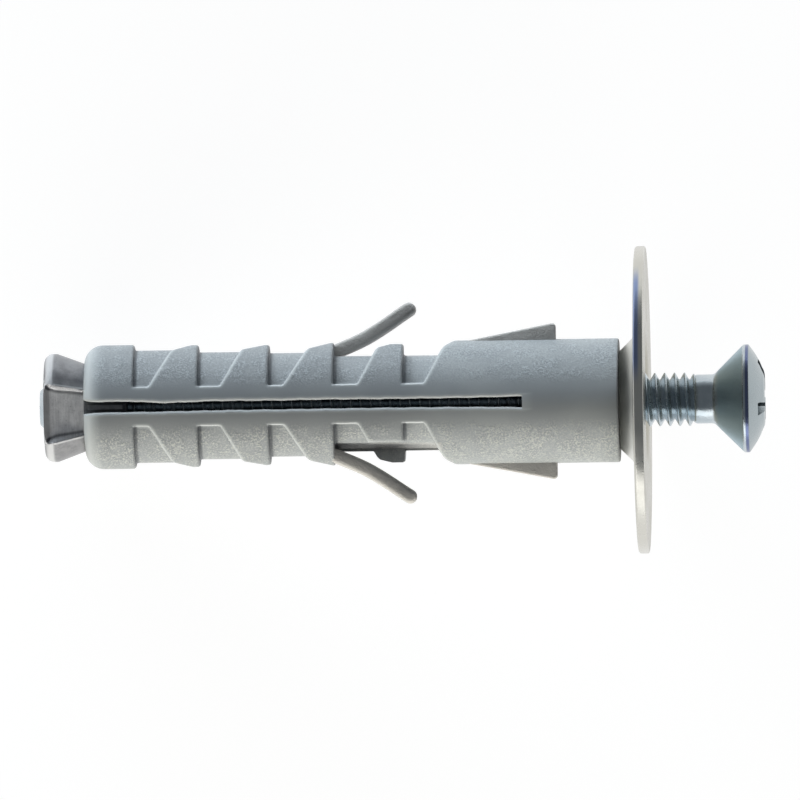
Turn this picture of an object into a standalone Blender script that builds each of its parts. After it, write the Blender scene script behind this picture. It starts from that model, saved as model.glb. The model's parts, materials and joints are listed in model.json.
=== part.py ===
"""Screw anchor: a slotted nylon plug with a cone nut in its tip, a dished washer on its mouth and an
oval head machine screw through all three.

The anchor is built standing on its tip, with its axis on +Z, the slot facing +X and -X and the barbs
on +Y and -Y. An empty then lays it down the way it rests: on the nose of the plug and the rim of the
washer, with the head end raised. Lengths are in metres, and a station is a height on the axis, counted
from the tip of the plug.
"""

import math

import bmesh
import bpy
from mathutils import Matrix

# Screw
THREAD_RADIUS = 0.00191
THREAD_DEPTH = 0.00049
PITCH = 0.0007
SHANK_RADIUS = 0.00174
SHANK_LENGTH = 0.00107
TIP_PROUD = 0.00035
TIP_CHAMFER = 0.0007
HEAD_RADIUS = 0.00383
HEAD_RIM = 0.00035
CROWN_HEIGHT = 0.00115
CROWN_FLAT_RADIUS = 0.0019
CROWN_ROUND = 0.0012
NECK_FILLET = 0.0005
HEAD_STANDOFF = 0.00737

# Cross recess in the screw head
RECESS_REACH = 0.0034
RECESS_FOOT_REACH = 0.0009
RECESS_DEPTH = 0.0019
RECESS_WING = 0.0009
RECESS_TURN = math.radians(16.6)

# Cone nut
THREAD_CLEARANCE = 0.00015
NUT_NOSE_WALL = 0.00029
NUT_NOSE_DEPTH = 0.00305
NUT_NOSE_TAPER = 0.25
NUT_HEAD_LENGTH = 0.00284
NUT_HEAD_TAPER = 0.37
NUT_RIM_BAND = 0.0009
NUT_RIM_ROUND = 0.0006
NUT_FACE_WIDTH = 0.0056
NUT_FACE_DEPTH = 0.00065
NUT_FACE_TAPER = 0.183
NUT_FACE_TURN = math.radians(8)
KEY_RISE = 0.00125

# Plug
PLUG_LENGTH = 0.03764
TIP_WALL = 0.00098
NOSE_ROUND = 0.0013
MOUTH_CHAMFER = 0.0002
BORE_CLEARANCE = 0.00029
RAIL_HALF_WIDTH = 0.00142
SLOT_WIDTH = 0.00066
SLOT_TIP_WIDTH = 0.00092
SLOT_END_WIDTH = 0.00077
SLOT_FLARE_LENGTH = 0.0016
UNSLIT_LENGTH = 0.00651
RAMP_RISE = 0.00035
RAMP_LENGTH = 0.0012
RAMP_LIP = 0.00003
CORE_INSET = 0.0008

# Barbs of the plug, each beside the plug's middle, and the beds that they fold down on
BARB_WIDTH = 0.0016
BARB_INNER_SIDE = 0.0003
BARB_THICKNESS = 0.001
BARB_ANGLE = math.radians(29.8)
BARB_LENGTH = 0.0066
BARB_ROOT_SINK = 0.0009
BED_HEIGHT = 0.00319
BED_LEAN = math.radians(17)
BED_WALL = 0.00067
BED_SETBACK = 0.00002

# Fins of the plug
FIN_WIDTH = 0.0012
FIN_SETBACK = 0.00419
FIN_LENGTH = 0.00625
FIN_RISE = 0.0012
FIN_SINK = 0.00015
FIN_CORNER = 0.0003

# Washer
WASHER_RADIUS = 0.0109
WASHER_THICKNESS = 0.000745
WASHER_CLEARANCE = 0.00049
DIMPLE_DEPTH = 0.00121
DIMPLE_BEND = 0.001

# Gaps between neighbours
SEAT_GAP = 0.0003
KEY_GAP = 0.00015

# Facets of the round shapes
THREAD_STEPS = 16
ROUND_STEPS = 48
RIM_STEPS = 64
ARC_STEPS = 4

# How far a cutter runs past what it cuts
OVERCUT = 0.001


class Pocket:
    """One catch pocket in the side of the plug, open to the side and to both slot faces."""

    def __init__(self, station, floor_length, slope_length, depth):
        self.station = station
        self.floor_length = floor_length
        self.slope_length = slope_length
        self.depth = depth


POCKETS = [
    Pocket(0.00357, 0.0011, 0.0020, 0.00043),
    Pocket(0.00811, 0.0016, 0.0020, 0.00057),
    Pocket(0.01312, 0.0011, 0.0013, 0.00071),
    Pocket(0.01772, 0.0017, 0.0013, 0.0011),
    Pocket(0.02265, 0.0015, 0.0013, 0.0011),
]
BARB_POCKET = POCKETS[3]
LAST_POCKET = POCKETS[4]

# Sizes that follow from the ones above
NOSE_RADIUS = THREAD_RADIUS + THREAD_CLEARANCE + NUT_NOSE_WALL
WAIST_RADIUS = NOSE_RADIUS + NUT_NOSE_DEPTH * NUT_NOSE_TAPER
RIM_STATION = NUT_RIM_BAND - NUT_HEAD_LENGTH
NUT_RADIUS = WAIST_RADIUS - RIM_STATION * NUT_HEAD_TAPER
BORE_RADIUS = THREAD_RADIUS + BORE_CLEARANCE
PLUG_RADIUS = WAIST_RADIUS + SEAT_GAP + TIP_WALL
FOOT_STATION = PLUG_LENGTH + SEAT_GAP
HOLE_RADIUS = THREAD_RADIUS + WASHER_CLEARANCE
DISC_STATION = FOOT_STATION + DIMPLE_DEPTH
HEAD_STATION = FOOT_STATION + HEAD_RADIUS - HOLE_RADIUS + HEAD_STANDOFF
NECK_STATION = HEAD_STATION - (HEAD_RADIUS - SHANK_RADIUS)
TIP_STATION = -NUT_HEAD_LENGTH - TIP_PROUD
THREAD_END = NECK_STATION - SHANK_LENGTH


def clear_scene():
    for obj in list(bpy.data.objects):
        bpy.data.objects.remove(obj, do_unlink=True)


def new_collection(name):
    collection = bpy.data.collections.new(name)
    bpy.context.scene.collection.children.link(collection)
    return collection


def material(name, colour, roughness, metallic):
    made = bpy.data.materials.new(name)
    made.use_nodes = True
    shader = made.node_tree.nodes["Principled BSDF"]
    shader.inputs["Base Color"].default_value = (*colour, 1)
    shader.inputs["Roughness"].default_value = roughness
    shader.inputs["Metallic"].default_value = metallic
    return made


def add_mesh(name, mesh_data, collection):
    """A new object from a bmesh, which is freed."""
    mesh = bpy.data.meshes.new(name)
    mesh_data.to_mesh(mesh)
    mesh_data.free()
    obj = bpy.data.objects.new(name, mesh)
    collection.objects.link(obj)
    return obj


def turned(name, profile, steps, collection, closed=False):
    """A turned shape from (radius, station) points that run down its outer side from the top."""
    data = bmesh.new()
    points = [data.verts.new((radius, 0, station)) for radius, station in profile]
    for start, end in zip(points, points[1:]):
        data.edges.new((start, end))
    if closed:
        data.edges.new((points[-1], points[0]))
    obj = add_mesh(name, data, collection)
    screw = obj.modifiers.new("turn", "SCREW")
    screw.steps = screw.render_steps = steps
    screw.use_merge_vertices = True
    screw.merge_threshold = 1e-6
    return obj


def extruded(name, outlines, width, collection):
    """Flat outlines of (station, height) points, each made a prism of this width across X."""
    data = bmesh.new()
    for outline in outlines:
        corners = [data.verts.new((-width / 2, height, station)) for station, height in outline]
        face = data.faces.new(corners)
        raised = bmesh.ops.extrude_face_region(data, geom=[face])["geom"]
        top = [item for item in raised if isinstance(item, bmesh.types.BMVert)]
        bmesh.ops.translate(data, verts=top, vec=(width, 0, 0))
    bmesh.ops.recalc_face_normals(data, faces=data.faces)
    return add_mesh(name, data, collection)


def both_sides(outline):
    """An outline and its mirror image below the axis."""
    return [outline, [(station, -height) for station, height in outline]]


def arc(centre, radius, start, end, steps=ARC_STEPS):
    """Points of an arc about centre = (radius, station), at angles from the outward direction."""
    angles = [start + (end - start) * k / steps for k in range(steps + 1)]
    return [(centre[0] + radius * math.cos(a), centre[1] + radius * math.sin(a)) for a in angles]


def boolean(obj, other, operation):
    modifier = obj.modifiers.new(other.name, "BOOLEAN")
    modifier.operation = operation
    modifier.object = other


def finish(obj, surface):
    """Makes the modifiers' result the object's own mesh, shaded smooth up to its edges."""
    evaluated = obj.evaluated_get(bpy.context.evaluated_depsgraph_get())
    mesh = bpy.data.meshes.new_from_object(evaluated)
    obj.modifiers.clear()
    obj.data = mesh
    mesh.shade_smooth()
    mesh.set_sharp_from_angle(angle=math.radians(35))
    mesh.materials.clear()
    mesh.materials.append(surface)
    return obj


def thread(name, clearance, top, collection):
    """A solid screw thread from below the screw's tip to past the station top.

    One pitch of its outline is turned and raised into a helix, and each end is closed by a fan.
    Every thread starts at the same station, so that a cutter with a clearance matches the screw.
    """
    start = TIP_STATION - 1.5 * PITCH
    crest = THREAD_RADIUS + clearance
    root = crest - THREAD_DEPTH
    data = bmesh.new()
    outline = [(root, start + PITCH), (crest, start + PITCH / 2), (root, start)]
    points = [data.verts.new((radius, 0, station)) for radius, station in outline]
    for first, second in zip(points, points[1:]):
        data.edges.new((first, second))
    obj = add_mesh(name, data, collection)
    screw = obj.modifiers.new("helix", "SCREW")
    screw.steps = screw.render_steps = THREAD_STEPS
    screw.screw_offset = PITCH
    screw.iterations = math.ceil((top - start) / PITCH) + 1
    weld = obj.modifiers.new("weld", "WELD")
    weld.merge_threshold = 1e-6
    evaluated = obj.evaluated_get(bpy.context.evaluated_depsgraph_get())
    obj.data = bpy.data.meshes.new_from_object(evaluated)
    obj.modifiers.clear()
    data = bmesh.new()
    data.from_mesh(obj.data)
    rim = [edge for edge in data.edges if edge.is_boundary]
    ends = bmesh.ops.holes_fill(data, edges=rim)["faces"]
    bmesh.ops.poke(data, faces=ends)
    bmesh.ops.recalc_face_normals(data, faces=data.faces)
    data.to_mesh(obj.data)
    data.free()
    return obj


def screw_blank_profile():
    """The screw without its thread, from the top of its raised head to the end of the shank."""
    top = HEAD_STATION + HEAD_RIM + CROWN_HEIGHT
    flank = math.atan2(CROWN_HEIGHT, HEAD_RADIUS - CROWN_FLAT_RADIUS)
    crown_centre = (CROWN_FLAT_RADIUS - CROWN_ROUND * math.tan(flank / 2), top - CROWN_ROUND)
    crown = arc(crown_centre, CROWN_ROUND, math.pi / 2, math.pi / 2 - flank)
    neck_reach = NECK_FILLET * math.tan(math.pi / 8)
    neck_centre = (SHANK_RADIUS + NECK_FILLET, NECK_STATION - neck_reach)
    neck = arc(neck_centre, NECK_FILLET, math.radians(135), math.pi)
    return [
        (0, top),
        *crown,
        (HEAD_RADIUS, HEAD_STATION + HEAD_RIM),
        (HEAD_RADIUS, HEAD_STATION),
        *neck,
        (SHANK_RADIUS, THREAD_END - PITCH / 2),
        (0, THREAD_END - PITCH / 2),
    ]


def make_screw(parts, cutters, steel):
    """The thread is cut to length with a chamfered tip, and joined to the shank and head."""
    screw = thread("oval_head_screw", 0, THREAD_END, parts)
    wide = THREAD_RADIUS + OVERCUT
    tip = THREAD_RADIUS - TIP_CHAMFER
    envelope = turned(
        "thread_envelope",
        [
            (0, THREAD_END),
            (wide, THREAD_END),
            (wide, TIP_STATION + TIP_CHAMFER + OVERCUT),
            (tip, TIP_STATION),
            (0, TIP_STATION),
        ],
        THREAD_STEPS,
        cutters,
    )
    blank = turned("screw_blank", screw_blank_profile(), ROUND_STEPS, cutters)
    boolean(screw, envelope, "INTERSECT")
    boolean(screw, blank, "UNION")
    top = HEAD_STATION + HEAD_RIM + CROWN_HEIGHT
    bottom = top - RECESS_DEPTH
    slope = (RECESS_REACH - RECESS_FOOT_REACH) / RECESS_DEPTH
    lip = RECESS_REACH + slope * OVERCUT
    wing = [
        (top + OVERCUT, lip),
        (bottom, RECESS_FOOT_REACH),
        (bottom, -RECESS_FOOT_REACH),
        (top + OVERCUT, -lip),
    ]
    for turn, name in ((RECESS_TURN, "recess_one"), (RECESS_TURN + math.pi / 2, "recess_two")):
        cutter = extruded(name, [wing], RECESS_WING, cutters)
        cutter.rotation_euler.z = turn
        boolean(screw, cutter, "DIFFERENCE")
    return finish(screw, steel)


def make_nut(parts, cutters, cast):
    """A tapered nut with a flat face on two sides and a key that stands in each side of the slot."""
    lip = NUT_RADIUS - NUT_RIM_ROUND
    centre = (lip, RIM_STATION - (NUT_RIM_BAND - NUT_RIM_ROUND))
    nut = turned(
        "cone_nut",
        [
            (0, NUT_NOSE_DEPTH),
            (NOSE_RADIUS, NUT_NOSE_DEPTH),
            (WAIST_RADIUS, 0),
            (NUT_RADIUS, RIM_STATION),
            *arc(centre, NUT_RIM_ROUND, 0, -math.pi / 2),
            (0, -NUT_HEAD_LENGTH),
        ],
        ROUND_STEPS,
        parts,
    )
    face = NUT_RADIUS - NUT_FACE_DEPTH
    far = NUT_RADIUS + OVERCUT
    faces = both_sides(
        [
            (-NUT_HEAD_LENGTH - OVERCUT, face + OVERCUT * NUT_FACE_TAPER),
            (-KEY_GAP, face - (NUT_HEAD_LENGTH - KEY_GAP) * NUT_FACE_TAPER),
            (-KEY_GAP, far),
            (-NUT_HEAD_LENGTH - OVERCUT, far),
        ]
    )
    flats = extruded("nut_faces", faces, NUT_FACE_WIDTH, cutters)
    flats.rotation_euler.z = math.pi / 2 + NUT_FACE_TURN
    boolean(nut, flats, "DIFFERENCE")
    reach = NOSE_RADIUS + KEY_RISE
    width = SLOT_WIDTH - 2 * KEY_GAP
    bar = [
        (-KEY_GAP, -width / 2),
        (NUT_NOSE_DEPTH - KEY_GAP, -width / 2),
        (NUT_NOSE_DEPTH - KEY_GAP, width / 2),
        (-KEY_GAP, width / 2),
    ]
    keys = extruded("nut_keys", [bar], 2 * reach, cutters)
    boolean(nut, keys, "UNION")
    tap = thread("nut_thread", THREAD_CLEARANCE, NUT_NOSE_DEPTH, cutters)
    boolean(nut, tap, "DIFFERENCE")
    return finish(nut, cast)


def pocket_outline(pocket):
    """The side view of a pocket: a square catch face, a floor along the rail and a slope back out."""
    foot = pocket.station + pocket.floor_length
    head = foot + pocket.slope_length
    far = PLUG_RADIUS + OVERCUT
    return [
        (pocket.station, RAIL_HALF_WIDTH),
        (foot, RAIL_HALF_WIDTH),
        (head, PLUG_RADIUS - RAMP_RISE),
        (head + RAMP_LENGTH, PLUG_RADIUS + RAMP_LIP),
        (head + RAMP_LENGTH, far),
        (pocket.station, far),
    ]


def core_profile():
    """The plug under its pockets, which changes radius inside the land before each pocket."""
    ends = [pocket.station for pocket in POCKETS[1:]]
    ends.append(LAST_POCKET.station + LAST_POCKET.floor_length + LAST_POCKET.slope_length + RAMP_LENGTH)
    profile = [(0, ends[-1] - CORE_INSET)]
    for pocket, end in reversed(list(zip(POCKETS, ends))):
        floor = PLUG_RADIUS - pocket.depth
        profile += [(floor, end - CORE_INSET), (floor, pocket.station - CORE_INSET)]
    return profile + [(0, POCKETS[0].station - CORE_INSET)]


def barb_outline():
    """A tongue that leaves the catch face of its pocket and leans out towards the mouth."""
    along = (math.cos(BARB_ANGLE), math.sin(BARB_ANGLE))
    across = (-along[1], along[0])
    half = BARB_THICKNESS / 2
    root = (BARB_POCKET.station, PLUG_RADIUS - BARB_THICKNESS / 2 - RAMP_RISE / 2)

    def at(distance, side):
        return tuple(root[k] + along[k] * distance + across[k] * side for k in (0, 1))

    length = BARB_LENGTH - half
    tip = [math.pi / 2 - math.pi * k / 6 for k in range(7)]
    rounded = [at(length + half * math.cos(a), half * math.sin(a)) for a in tip]
    bed = (BARB_POCKET.station - BARB_ROOT_SINK, root[1] - half)
    crown = (BARB_POCKET.station - BARB_ROOT_SINK, root[1] + half / 2)
    return [bed, crown, at(half, half), *rounded, at(half, -half)]


def bed_outline():
    """The side view of a barb's bed, from its catch face to the slope of the last pocket."""
    start = BARB_POCKET.station + BED_SETBACK
    foot = LAST_POCKET.station + LAST_POCKET.floor_length
    head = foot + LAST_POCKET.slope_length
    shoulder = PLUG_RADIUS - RAMP_RISE
    share = (BED_HEIGHT - RAIL_HALF_WIDTH) / (shoulder - RAIL_HALF_WIDTH)
    far = PLUG_RADIUS + OVERCUT
    return [
        (start, BED_HEIGHT),
        (foot + LAST_POCKET.slope_length * share, BED_HEIGHT),
        (head, shoulder),
        (head, far),
        (start, far),
    ]


def beside(name, outline, inner, outer, turn, cutters):
    """A prism between two distances from the plug's middle, turned about the plug's axis."""
    prism = extruded(name, [outline], outer - inner, cutters)
    prism.data.transform(Matrix.Translation(((inner + outer) / 2, 0, 0)))
    prism.rotation_euler.z = turn
    return prism


def make_plug(parts, cutters, nylon):
    """One moulding: a slotted sleeve with pockets, barbs and fins, and a seat for the nut's nose."""
    nose = arc((PLUG_RADIUS - NOSE_ROUND, NOSE_ROUND), NOSE_ROUND, 0, -math.pi / 2)
    plug = turned(
        "plug_sleeve",
        [
            (0, PLUG_LENGTH),
            (PLUG_RADIUS - MOUTH_CHAMFER, PLUG_LENGTH),
            (PLUG_RADIUS, PLUG_LENGTH - MOUTH_CHAMFER),
            *nose,
            (0, 0),
        ],
        ROUND_STEPS,
        parts,
    )
    through = 2 * (PLUG_RADIUS + OVERCUT)
    for pocket in POCKETS:
        cutter = extruded("pocket", both_sides(pocket_outline(pocket)), through, cutters)
        boolean(plug, cutter, "DIFFERENCE")
    boolean(plug, turned("core", core_profile(), ROUND_STEPS, cutters), "UNION")
    reach = PLUG_RADIUS + OVERCUT
    barb_end = BARB_INNER_SIDE + BARB_WIDTH
    for turn in (0, math.pi):
        bed = beside("barb_bed", bed_outline(), -BED_WALL, reach, turn - BED_LEAN, cutters)
        boolean(plug, bed, "DIFFERENCE")
    for turn in (0, math.pi):
        barb = beside("barb", barb_outline(), BARB_INNER_SIDE, barb_end, turn, cutters)
        boolean(plug, barb, "UNION")
    fin_end = PLUG_LENGTH - FIN_SETBACK
    fin_start = fin_end - FIN_LENGTH * (1 + FIN_SINK / FIN_RISE)
    fin = [
        (fin_start, PLUG_RADIUS - FIN_SINK),
        (fin_end, PLUG_RADIUS - FIN_SINK),
        (fin_end, PLUG_RADIUS + FIN_RISE - FIN_CORNER),
        (fin_end - FIN_CORNER, PLUG_RADIUS + FIN_RISE),
    ]
    boolean(plug, extruded("fins", both_sides(fin), FIN_WIDTH, cutters), "UNION")
    slot_end = PLUG_LENGTH - UNSLIT_LENGTH
    half = SLOT_WIDTH / 2
    tip_half = SLOT_TIP_WIDTH / 2
    end_half = SLOT_END_WIDTH / 2
    slot = [
        (-OVERCUT, tip_half),
        (0, tip_half),
        (SLOT_FLARE_LENGTH, half),
        (slot_end / 2, half),
        (slot_end, end_half),
        (slot_end, -end_half),
        (slot_end / 2, -half),
        (SLOT_FLARE_LENGTH, -half),
        (0, -tip_half),
        (-OVERCUT, -tip_half),
    ]
    boolean(plug, extruded("slot", [slot], through, cutters), "DIFFERENCE")
    seat = WAIST_RADIUS + SEAT_GAP
    seat_end = (seat - BORE_RADIUS) / NUT_NOSE_TAPER
    bore = turned(
        "bore",
        [
            (0, PLUG_LENGTH + OVERCUT),
            (BORE_RADIUS, PLUG_LENGTH + OVERCUT),
            (BORE_RADIUS, seat_end),
            (seat + OVERCUT * NUT_NOSE_TAPER, -OVERCUT),
            (0, -OVERCUT),
        ],
        ROUND_STEPS,
        cutters,
    )
    boolean(plug, bore, "DIFFERENCE")
    return finish(plug, nylon)


def make_washer(parts, steel):
    """A disc with a pressed dimple, whose two sides bend about one centre and stay parallel."""
    back = DISC_STATION + WASHER_THICKNESS
    foot_radius = HOLE_RADIUS + WASHER_THICKNESS * math.sqrt(2)
    corner = foot_radius + DIMPLE_DEPTH
    centre = (corner + DIMPLE_BEND * math.tan(math.pi / 8), DISC_STATION - DIMPLE_BEND)
    inside = arc(centre, DIMPLE_BEND, math.pi / 2, math.radians(135))
    outside = arc(centre, DIMPLE_BEND + WASHER_THICKNESS, math.radians(135), math.pi / 2)
    washer = turned(
        "dished_washer",
        [
            (WASHER_RADIUS, back),
            (WASHER_RADIUS, DISC_STATION),
            *inside,
            (foot_radius, FOOT_STATION),
            (HOLE_RADIUS, FOOT_STATION),
            *outside,
        ],
        RIM_STEPS,
        parts,
        closed=True,
    )
    washer.rotation_euler.z = math.pi / RIM_STEPS
    return finish(washer, steel)


def lay_down(pieces):
    """Lays the anchor on the nose of its plug and the rim of its washer, centred over the origin."""
    nose = PLUG_RADIUS - SLOT_TIP_WIDTH ** 2 / (8 * PLUG_RADIUS)
    rim = WASHER_RADIUS * math.cos(math.pi / RIM_STEPS)
    tilt = math.atan((rim - nose) / (DISC_STATION - NOSE_ROUND))
    rest = bpy.data.objects.new("rest_attitude", None)
    bpy.context.scene.collection.objects.link(rest)
    rest.rotation_euler.y = math.pi / 2 - tilt
    for piece in pieces:
        piece.parent = rest
    bpy.context.view_layer.update()
    corners = [piece.matrix_world @ vert.co for piece in pieces for vert in piece.data.vertices]
    low = [min(corner[k] for corner in corners) for k in range(3)]
    high = [max(corner[k] for corner in corners) for k in range(3)]
    rest.location = (-(low[0] + high[0]) / 2, -(low[1] + high[1]) / 2, -low[2])


def main():
    clear_scene()
    parts = new_collection("screw_anchor")
    cutters = new_collection("cutters")
    cutters.hide_render = True
    nylon = material("grey_nylon", (0.30, 0.32, 0.33), 0.5, 0)
    cast = material("cast_zinc", (0.55, 0.55, 0.56), 0.35, 1)
    plated = material("zinc_plated_disc", (0.62, 0.62, 0.58), 0.25, 1)
    steel = material("zinc_plated_screw", (0.50, 0.56, 0.60), 0.2, 1)
    pieces = [
        make_plug(parts, cutters, nylon),
        make_nut(parts, cutters, cast),
        make_washer(parts, plated),
        make_screw(parts, cutters, steel),
    ]
    for cutter in cutters.objects:
        cutter.hide_render = True
        cutter.display_type = "WIRE"
    lay_down(pieces)


main()
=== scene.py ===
import json
import math

import bmesh
import bpy
import numpy as np
from mathutils import Matrix, Vector


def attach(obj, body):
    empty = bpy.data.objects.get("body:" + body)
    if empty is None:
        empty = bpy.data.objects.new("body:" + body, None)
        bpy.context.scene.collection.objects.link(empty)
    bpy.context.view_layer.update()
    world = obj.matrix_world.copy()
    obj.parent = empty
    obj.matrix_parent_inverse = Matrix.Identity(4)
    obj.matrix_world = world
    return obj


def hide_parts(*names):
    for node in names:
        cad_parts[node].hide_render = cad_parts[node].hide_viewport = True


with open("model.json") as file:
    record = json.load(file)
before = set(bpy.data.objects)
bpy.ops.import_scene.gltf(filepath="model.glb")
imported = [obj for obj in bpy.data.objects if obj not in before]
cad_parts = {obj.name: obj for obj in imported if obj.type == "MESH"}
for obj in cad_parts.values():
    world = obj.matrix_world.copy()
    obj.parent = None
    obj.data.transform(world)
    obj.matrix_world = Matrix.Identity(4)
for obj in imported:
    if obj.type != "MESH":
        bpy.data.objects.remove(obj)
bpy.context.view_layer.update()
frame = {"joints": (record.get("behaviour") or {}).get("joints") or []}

# Nylon plug
# One grey nylon moulding, split from its tip by a slot so that its two legs can spread. Each leg has five
# catch pockets, a barb beside its middle that folds into a bed, and a fin that stops the plug turning.
MM = 0.001
DISC_STATION = 39.15
PLUG_RADIUS = 4.3925
MOUTH_STATION = 37.93
MOUTH_ROUND = 0.15
NOSE_ROUND = 1.3
RAIL_HALF_WIDTH = 1.42
SHOULDER = 3.95
SHOULDER_ROUND = 0.35
RAIL_ROUND = 0.2
EDGE_ROUND = 0.16
FLOOR_ROUND = 0.08
CATCH_ROUND = 0.2
CATCH_FILLET = 0.16
SLOT_ROUND = 0.18
SLOT_END = 31.13
BORE_RADIUS = 2.2
SEAT_RADIUS = 3.16
SEAT_TAPER = 0.25
BED_EDGE = 2.72
BED_HEIGHT = 3.19
BED_LEAN = math.radians(17)
BED_WALL_ANGLE = math.radians(83.3)
BED_ROUND = 0.1
EDGE_WIDTHS = (0.03, 0.35)
PITCH_STEP = 0.01
PAINTED_LIGHT_REACH = 0.18
FULL_HIGHLIGHT_RISE = 0.12
FULL_SHADE_DROP = 0.3
WELD_REACH = 0.0001

# Points are (towards the floor, towards the upper barb, station), in millimetres from the plug's tip.
turn_joint = next(joint for joint in frame["joints"] if joint["name"] == "screw_turn")
TO_HEAD = -Vector(turn_joint["axis"]).normalized()
TO_BARB = Vector((0, 1, 0))
TO_FLOOR = TO_BARB.cross(TO_HEAD)
TIP_POINT = Vector(turn_joint["pos_m"]) - TO_HEAD * DISC_STATION * MM
LAID = Matrix.Translation(TIP_POINT) @ Matrix((TO_FLOOR, TO_BARB, TO_HEAD)).transposed().to_4x4()


def made_piece(name, mesh, finish, edge_angle):
    """The mesh laid in its place, welded, facing outwards and sharp where it turns past the angle."""
    data = bmesh.new()
    data.from_mesh(mesh)
    bmesh.ops.remove_doubles(data, verts=data.verts, dist=WELD_REACH * MM)
    bmesh.ops.recalc_face_normals(data, faces=data.faces)
    data.to_mesh(mesh)
    data.free()
    mesh.transform(LAID)
    mesh.shade_smooth()
    mesh.set_sharp_from_angle(angle=math.radians(edge_angle))
    mesh.materials.clear()
    mesh.materials.append(finish.material)
    obj = bpy.data.objects.new(name, mesh)
    bpy.context.scene.collection.objects.link(obj)
    return obj


class Shell:
    """Points and faces that grow into one piece, with its painted light (a highlight above 0, shade below
    0) and how pale it is at each point.
    """

    def __init__(self):
        self.points = []
        self.faces = []
        self.marks = {"painted_light": [], "pale": []}

    def ring(self, points, painted_light=0.0, pale=0.0):
        """Adds a row of points and gives their numbers."""
        start = len(self.points)
        self.points.extend(tuple(map(float, point)) for point in points)
        self.marks["painted_light"].extend(np.broadcast_to(painted_light, len(points)))
        self.marks["pale"].extend(np.broadcast_to(pale, len(points)))
        return list(range(start, len(self.points)))

    def skin(self, rows, closed=True):
        """Quads between rows with the same number of points."""
        for low, high in zip(rows, rows[1:]):
            count = len(low)
            for k in range(count if closed else count - 1):
                after = (k + 1) % count
                self.faces.append((low[k], low[after], high[after], high[k]))

    def tube(self, rings, pale=0.0):
        """A closed solid through these rings of points, with a flat face at each end."""
        rows = [self.ring(points, 0.0, pale) for points in rings]
        self.skin(rows)
        self.faces.append(tuple(rows[0]))
        self.faces.append(tuple(rows[-1]))

    def angle(self, number):
        """Where a numbered point stands round the line, from the side that faces up."""
        x, y = self.points[number][:2]
        return math.atan2(y, -x) % (2 * math.pi)

    def zip_up(self, outer_row, inner_row):
        """Triangles between two whole rings of points with different counts."""
        outer = sorted((self.angle(number), number) for number in outer_row)
        inner = sorted((self.angle(number), number) for number in inner_row)
        i = j = 0
        while i < len(outer) or j < len(inner):
            outer_next = outer[i + 1][0] if i + 1 < len(outer) else outer[0][0] + 2 * math.pi
            inner_next = inner[j + 1][0] if j + 1 < len(inner) else inner[0][0] + 2 * math.pi
            first, second = outer[i % len(outer)][1], inner[j % len(inner)][1]
            if j >= len(inner) or (i < len(outer) and outer_next <= inner_next):
                self.faces.append((first, outer[(i + 1) % len(outer)][1], second))
                i += 1
            else:
                self.faces.append((first, inner[(j + 1) % len(inner)][1], second))
                j += 1

    def piece(self, name, finish, edge_angle=40):
        """The finished piece, with the marks kept at its points."""
        mesh = bpy.data.meshes.new(name)
        mesh.from_pydata([tuple(c * MM for c in point) for point in self.points], [], self.faces)
        for mark, values in self.marks.items():
            mesh.attributes.new(mark, "FLOAT", "POINT").data.foreach_set("value", values)
        return made_piece(name, mesh, finish, edge_angle)


def soft_least(first, second, width):
    """The lesser of two, with the corner where they cross rounded over this width."""
    share = np.clip(0.5 + 0.5 * (second - first) / width, 0, 1)
    return second * (1 - share) + first * share - width * share * (1 - share)


def soft_most(first, second, width):
    """The greater of two, with the corner where they cross filled over this width."""
    return -soft_least(-first, -second, width)


class Pocket:
    """A catch pocket: a square catch face, a floor along the rail, and a slope and ramp back out."""

    def __init__(self, station, floor_length, slope_length, ramp_length, depth, crest):
        self.station = station
        self.foot = station + floor_length
        self.slope_length = slope_length
        self.ramp_length = ramp_length
        self.depth = depth
        self.crest = crest
        self.end = self.foot + slope_length + ramp_length

    def edge(self, station):
        """How far from the middle of the plug the pocket's upper edge runs."""
        run = station - self.foot
        slope = RAIL_HALF_WIDTH + (SHOULDER - RAIL_HALF_WIDTH) * run / self.slope_length
        rise = (self.crest - SHOULDER) * (run - self.slope_length) / self.ramp_length
        ramp = min(SHOULDER + rise, self.crest)
        return float(soft_most(RAIL_HALF_WIDTH, soft_least(slope, ramp, SHOULDER_ROUND), RAIL_ROUND))


# Each catch's station, the lengths of its floor, slope and ramp, its depth and its crest's height.
POCKETS = [
    Pocket(3.57, 1.08, 1.52, 1.4, 0.41, 4.32),
    Pocket(8.11, 1.61, 1.42, 1.7, 0.6, 4.26),
    Pocket(13.12, 1.08, 1.62, 1.8, 0.72, 4.37),
    Pocket(17.72, 1.74, 1.29, 1.0, 1.0, 4.2),
    Pocket(22.65, 1.52, 1.27, 0.9, 1.02, 4.45),
]
BARB_POCKET, LAST_POCKET = POCKETS[3:]


def pocket_at(station):
    """The pocket whose catch was passed last, or none before the first."""
    passed = [pocket for pocket in POCKETS if pocket.station <= station]
    return passed[-1] if passed else None


def rounded(radius, distance):
    """How far a round of this radius has come down at a distance short of its end."""
    inset = max(radius - distance, 0)
    return radius - math.sqrt(max(radius ** 2 - inset ** 2, 0))


def sleeve_radius(station):
    """The plain sleeve's radius, rounded over at its nose and a little at its mouth."""
    return PLUG_RADIUS - rounded(NOSE_ROUND, station) - rounded(MOUTH_ROUND, MOUTH_STATION - station)


def bed_angles(angles, side):
    """Angles from the slot that a barb's bed opens towards: near on the lower leg, far on the upper."""
    return angles if side < 0 else math.pi - angles


def flat_wall(distance, angles, least_sine):
    """The radius at these angles of a flat wall this far off the anchor's line, kept within bounds."""
    return distance / np.maximum(np.sin(angles), least_sine)


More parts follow.
